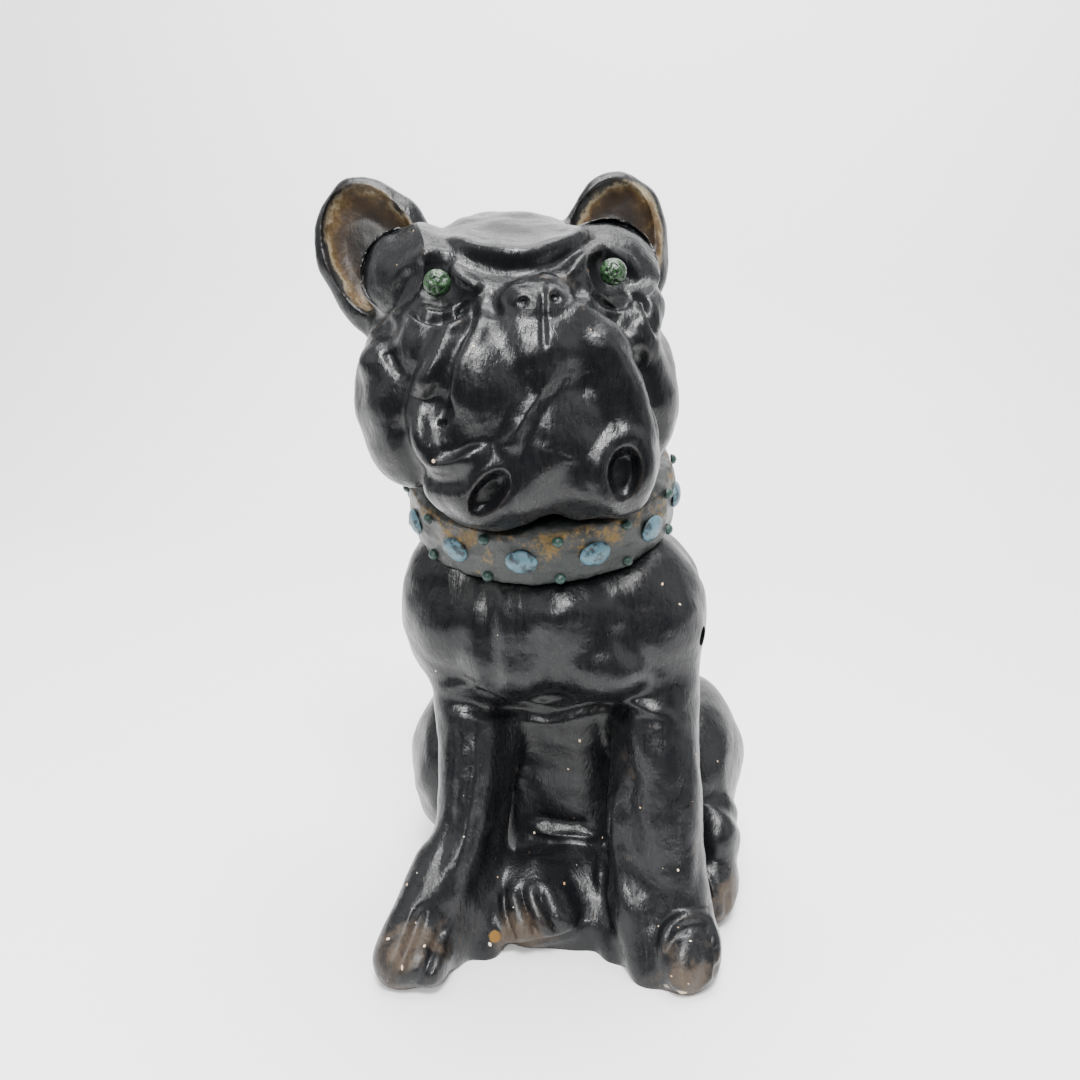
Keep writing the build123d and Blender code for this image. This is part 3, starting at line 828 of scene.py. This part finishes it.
# ---------------------------------------------------------------- ears and head
# The ears are pinched cups. Inside, the black has worn to a golden brown under a pale dry rim.
def cup_lining(name, home, middle, radii):
    """The lining of an ear: home is the ear's own axes, with the oval of its mouth in millimetres."""
    made = glazed(name, 0.42)
    tree = made.node_tree
    surface = tree.nodes["Principled BSDF"]
    under = surface.inputs["Base Color"].links[0].from_socket
    spot = add(tree, "ShaderNodeTexCoord", {}).outputs["Object"]
    # the pattern sits on the ear: 1 is the edge of the mouth across and up, and the back of the cup
    cup_depth = 12
    mouth = {"Location": home @ (Vector(middle) * MM), "Rotation": home.to_euler()}
    mouth["Scale"] = Vector((radii[0], cup_depth, radii[1])) * MM
    local = add(tree, "ShaderNodeMapping", {"Vector": spot, **mouth}, vector_type="TEXTURE")
    flat = add(
        tree, "ShaderNodeVectorMath", {0: local.outputs[0], 1: (1.0, 0.0, 1.0)}, operation="MULTIPLY"
    )
    out = add(tree, "ShaderNodeVectorMath", {0: flat.outputs[0]}, operation="LENGTH").outputs["Value"]
    cloud = add(
        tree, "ShaderNodeTexNoise", {"Vector": spot, "Scale": 130.0, "Detail": 6.0, "Roughness": 0.7}
    ).outputs["Fac"]
    shrunk = add(tree, "ShaderNodeMath", {0: out, 1: 0.68}, operation="MULTIPLY").outputs[0]
    ring = add(tree, "ShaderNodeMath", {0: cloud, 1: 0.55, 2: shrunk}, operation="MULTIPLY_ADD").outputs[0]
    bands = add(tree, "ShaderNodeValToRGB", {"Fac": ring})
    stops = bands.color_ramp.elements
    stops[0].position, stops[0].color = 0.50, paint("12100f")
    stops[1].position, stops[1].color = 0.66, paint("1d1611")
    for place, code in ((0.80, "2c2013"), (0.88, "4c3b22"), (0.94, "746a56"), (0.985, "262422")):
        stops.new(place).color = paint(code)
    # only inside the mouth, on what doesn't face backwards, and not on the skull behind
    outward = add(tree, "ShaderNodeNewGeometry", {}).outputs["Normal"]
    ahead = home.to_3x3() @ Vector((0, -1, 0))
    face = add(
        tree, "ShaderNodeVectorMath", {0: outward, 1: ahead}, operation="DOT_PRODUCT"
    ).outputs["Value"]
    edge = add(tree, "ShaderNodeMapRange", {"Value": out, "From Min": 1.06, "From Max": 0.96}).outputs[0]
    front = add(
        tree, "ShaderNodeMapRange", {"Value": face, "From Min": -0.55, "From Max": -0.2}
    ).outputs[0]
    deep = add(tree, "ShaderNodeSeparateXYZ", {"Vector": local.outputs[0]}).outputs["Y"]
    inner = add(tree, "ShaderNodeMapRange", {"Value": deep, "From Min": 1.0, "From Max": 0.85}).outputs[0]
    front = add(tree, "ShaderNodeMath", {0: front, 1: inner}, operation="MULTIPLY").outputs[0]
    lined = add(tree, "ShaderNodeMath", {0: edge, 1: front}, operation="MULTIPLY").outputs[0]
    mixed = add(tree, "ShaderNodeMix", {0: lined, 6: under, 7: bands.outputs["Color"]}, data_type="RGBA")
    tree.links.new(mixed.outputs[2], surface.inputs["Base Color"])
    shine = surface.inputs["Roughness"].links[0].from_socket
    dry = add(tree, "ShaderNodeMix", {0: lined, 2: shine, 3: 0.5})
    tree.links.new(dry.outputs[0], surface.inputs["Roughness"])
    return made


for name, place, turns in (("ear_left", (40, 12, 37), (14, 10)), ("ear_right", (-41, 12, 41), (-18, -10))):
    ear_home = head_home @ Matrix.Translation(Vector(place) * MM)
    for angle, axis in zip(turns, "YZ"):
        ear_home = ear_home @ Matrix.Rotation(math.radians(angle), 4, axis)
    lining = cup_lining(f"{name}_lining", ear_home, (0, -6, 3), (15.5, 23))
    head_rest = part_out(head_rest, name, (-32, -16, -14), (32, 16, 40), ear_home, lining)
head_rest = part_out(
    head_rest, "nose_pad", (-8, -75, 11), (18, -44, 27), head_home, black_glaze
)
seam_low, seam_high = (-200, -200, -100), (200, 6, 400)
head_rest = part_out(
    head_rest, "head_front_shell", seam_low, seam_high, body_home, black_glaze
)
finish(head_rest, "head_back_shell", black_glaze)

# ---------------------------------------------------------------- eyes
# Each eye is a pellet of clay pressed into its socket, pitted with a point and dabbed with a mottled
# green glaze, which is glassy.
eye_radii = Vector((4.2, 3.6, 4.2)) * MM
eye_green, eye_tree, eye_shader = shader("eye_green_glaze")
spot = add(eye_tree, "ShaderNodeTexCoord", {}).outputs["Object"]
mottle = add(
    eye_tree, "ShaderNodeTexNoise", {"Vector": spot, "Scale": 700.0, "Detail": 4.0, "Roughness": 0.7}
)
greens = add(eye_tree, "ShaderNodeValToRGB", {"Fac": mottle.outputs["Fac"]})
dark_end, light_end = greens.color_ramp.elements
dark_end.position, dark_end.color = 0.38, paint("0f1a12")
light_end.position, light_end.color = 0.66, paint("2b4a29")
eye_tree.links.new(greens.outputs["Color"], eye_shader.inputs["Base Color"])
eye_shader.inputs["Roughness"].default_value = 0.22
grain = add(
    eye_tree, "ShaderNodeBump", {"Height": mottle.outputs["Fac"], "Distance": 0.0004, "Strength": 0.7}
)
eye_tree.links.new(grain.outputs[0], eye_shader.inputs["Normal"])
for name, place, seed in (("eye_left", (30.4, -33.5, 26), 5), ("eye_right", (-24.1, -36.5, 26), 6)):
    pellet = bmesh.new()
    bmesh.ops.create_icosphere(pellet, subdivisions=5, radius=1.0)
    draw = np.random.default_rng(seed)
    pits = [Vector(p).normalized() for p in draw.normal(size=(26, 3)) + np.array((0, -1.6, 0))]
    for vert in pellet.verts:
        way = vert.co.normalized()
        press = sum(max(0.0, 1 - (way - pit).length / 0.30) ** 2 for pit in pits)
        raised = max(0.0, 1 - (way - Vector((0, -1, 0))).length / 0.42) ** 2
        vert.co = way * (1 - 0.16 * min(press, 1.0) + 0.12 * raised)
    where = head_home @ Matrix.Translation(Vector(place) * MM) @ Matrix.Diagonal((*eye_radii, 1.0))
    bmesh.ops.transform(pellet, matrix=where, verts=pellet.verts)
    mesh = bpy.data.meshes.new(f"{name}_pellet")
    pellet.to_mesh(mesh)
    pellet.free()
    mesh.materials.append(eye_green)
    mesh.polygons.foreach_set("use_smooth", [True] * len(mesh.polygons))
    eye = bpy.data.objects.new(f"{name}_pellet", mesh)
    bpy.context.scene.collection.objects.link(eye)
    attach(eye, "root")
    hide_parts(name)

# ---------------------------------------------------------------- collar
# The collar is a strap of clay wrapped round the neck joint and filled level with clay above. It
# was painted gold over black, and the gold has rubbed away in patches.
across, deep = 47, 43
# half of its section: a share of its radius, and the height in millimetres
outline = [(0, -10.6), (0.8, -10.6), (0.955, -10.4), (0.985, -9.4), (0.995, -7.5), (1.0, -3), (1.005, 0)]
outline += [(1.0, 3), (0.993, 7.5), (0.98, 9.6), (0.94, 10.8), (0.86, 12.2), (0.6, 15), (0, 17)]
strap = bmesh.new()
ends = [strap.verts.new((r, 0, z)) for r, z in outline]
for a, b in zip(ends[:-1], ends[1:]):
    strap.edges.new((a, b))
bmesh.ops.subdivide_edges(strap, edges=strap.edges[:], cuts=3)
section = strap.verts[:] + strap.edges[:]
bmesh.ops.spin(
    strap, geom=section, axis=(0, 0, 1), cent=(0, 0, 0), steps=260, angle=2 * math.pi, use_merge=True
)
bmesh.ops.remove_doubles(strap, verts=strap.verts[:], dist=1e-5)
bmesh.ops.recalc_face_normals(strap, faces=strap.faces[:])
where = collar_home @ Matrix.Diagonal((across * MM, deep * MM, MM, 1.0))
bmesh.ops.transform(strap, matrix=where, verts=strap.verts)
strap_mesh = bpy.data.meshes.new("collar_strap")
strap.to_mesh(strap_mesh)
strap.free()
strap_clay = Clay(strap_mesh, collar_home)
strap_clay.uneven(11, 0.22, 7)
strap_clay.uneven(4, 0.09, 8)
strap_clay.look()
strap_mesh.polygons.foreach_set("use_smooth", [True] * len(strap_mesh.polygons))
collar_paint, tree, surface = shader("collar_rubbed_gold_paint")
spot = add(tree, "ShaderNodeTexCoord", {}).outputs["Object"]
# heights on the strap in millimetres, from its middle
middle = {"Location": collar_home.translation, "Rotation": collar_home.to_euler(), "Scale": (MM, MM, MM)}
local = add(tree, "ShaderNodeMapping", {"Vector": spot, **middle}, vector_type="TEXTURE").outputs[0]
# gold paint is left where patches 8 mm wide and a 1 mm grit are highest, most of it near the top edge
patch = add(
    tree, "ShaderNodeTexNoise", {"Vector": spot, "Scale": 130.0, "Detail": 9.0, "Roughness": 0.8}
).outputs["Fac"]
fine = add(
    tree, "ShaderNodeTexNoise", {"Vector": spot, "Scale": 900.0, "Detail": 5.0, "Roughness": 0.7}
).outputs["Fac"]
up = add(tree, "ShaderNodeSeparateXYZ", {"Vector": local}).outputs["Z"]
bias = add(
    tree,
    "ShaderNodeMapRange",
    {"Value": up, "From Min": -10.0, "From Max": 8.0, "To Min": -0.09, "To Max": 0.04},
).outputs[0]
sum_up = add(tree, "ShaderNodeMath", {0: patch, 1: bias}, operation="ADD").outputs[0]
grit = add(tree, "ShaderNodeMath", {0: fine, 1: 0.22, 2: sum_up}, operation="MULTIPLY_ADD").outputs[0]
gold_here = add(
    tree, "ShaderNodeMapRange", {"Value": grit, "From Min": 0.635, "From Max": 0.715}
).outputs[0]
level_top = add(tree, "ShaderNodeMapRange", {"Value": up, "From Min": 10.6, "From Max": 9.4}).outputs[0]
gold_here = add(tree, "ShaderNodeMath", {0: gold_here, 1: level_top}, operation="MULTIPLY").outputs[0]
golds = add(
    tree, "ShaderNodeMix", {0: fine, 6: paint("3a2c14"), 7: paint("83682f")}, data_type="RGBA"
).outputs[2]
greens = add(
    tree, "ShaderNodeMix", {0: patch, 6: paint("050606"), 7: paint("141e1b")}, data_type="RGBA"
).outputs[2]
coat = add(tree, "ShaderNodeMix", {0: gold_here, 6: greens, 7: golds}, data_type="RGBA").outputs[2]
tree.links.new(coat, surface.inputs["Base Color"])
shine = add(tree, "ShaderNodeMapRange", {"Value": gold_here, "To Min": 0.3, "To Max": 0.48}).outputs[0]
tree.links.new(shine, surface.inputs["Roughness"])
metal = add(tree, "ShaderNodeMath", {0: gold_here, 1: 0.25}, operation="MULTIPLY").outputs[0]
tree.links.new(metal, surface.inputs["Metallic"])
crust = add(tree, "ShaderNodeBump", {"Height": patch, "Distance": 0.0008, "Strength": 0.7})
crumb = add(
    tree,
    "ShaderNodeBump",
    {"Height": fine, "Distance": 0.0002, "Strength": 0.6, "Normal": crust.outputs[0]},
)
tree.links.new(crumb.outputs[0], surface.inputs["Normal"])
strap_mesh.materials.append(collar_paint)
collar = bpy.data.objects.new("collar_strap", strap_mesh)
bpy.context.scene.collection.objects.link(collar)
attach(collar, "root")
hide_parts("collar_band")

# ---------------------------------------------------------------- bosses and beads
# Flat pats of clay round the collar carry a pale blue dab each, between two rows of green beads. Both
# are satin paint, dabbed on thick and worn through to the dark coat in places.
for name, node, light, dark, cover in (
    ("boss_blue_paint", "collar_bosses", "4a6c78", "232f34", 0.47),
    ("bead_green_paint", "collar_beads", "17362e", "0d1512", 0.42),
):
    made, tree, surface = shader(name)
    spot = add(tree, "ShaderNodeTexCoord", {}).outputs["Object"]
    patch = add(
        tree, "ShaderNodeTexNoise", {"Vector": spot, "Scale": 260.0, "Detail": 7.0, "Roughness": 0.7}
    ).outputs["Fac"]
    held = add(
        tree, "ShaderNodeMapRange", {"Value": patch, "From Min": cover - 0.04, "From Max": cover + 0.03}
    ).outputs[0]
    coat = add(
        tree, "ShaderNodeMix", {0: held, 6: paint(dark), 7: paint(light)}, data_type="RGBA"
    ).outputs[2]
    tree.links.new(coat, surface.inputs["Base Color"])
    surface.inputs["Roughness"].default_value = 0.42
    crust = add(tree, "ShaderNodeBump", {"Height": patch, "Distance": 0.0006, "Strength": 0.6})
    tree.links.new(crust.outputs[0], surface.inputs["Normal"])
    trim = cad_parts[node]
    for place in trim.material_slots:
        place.material = made
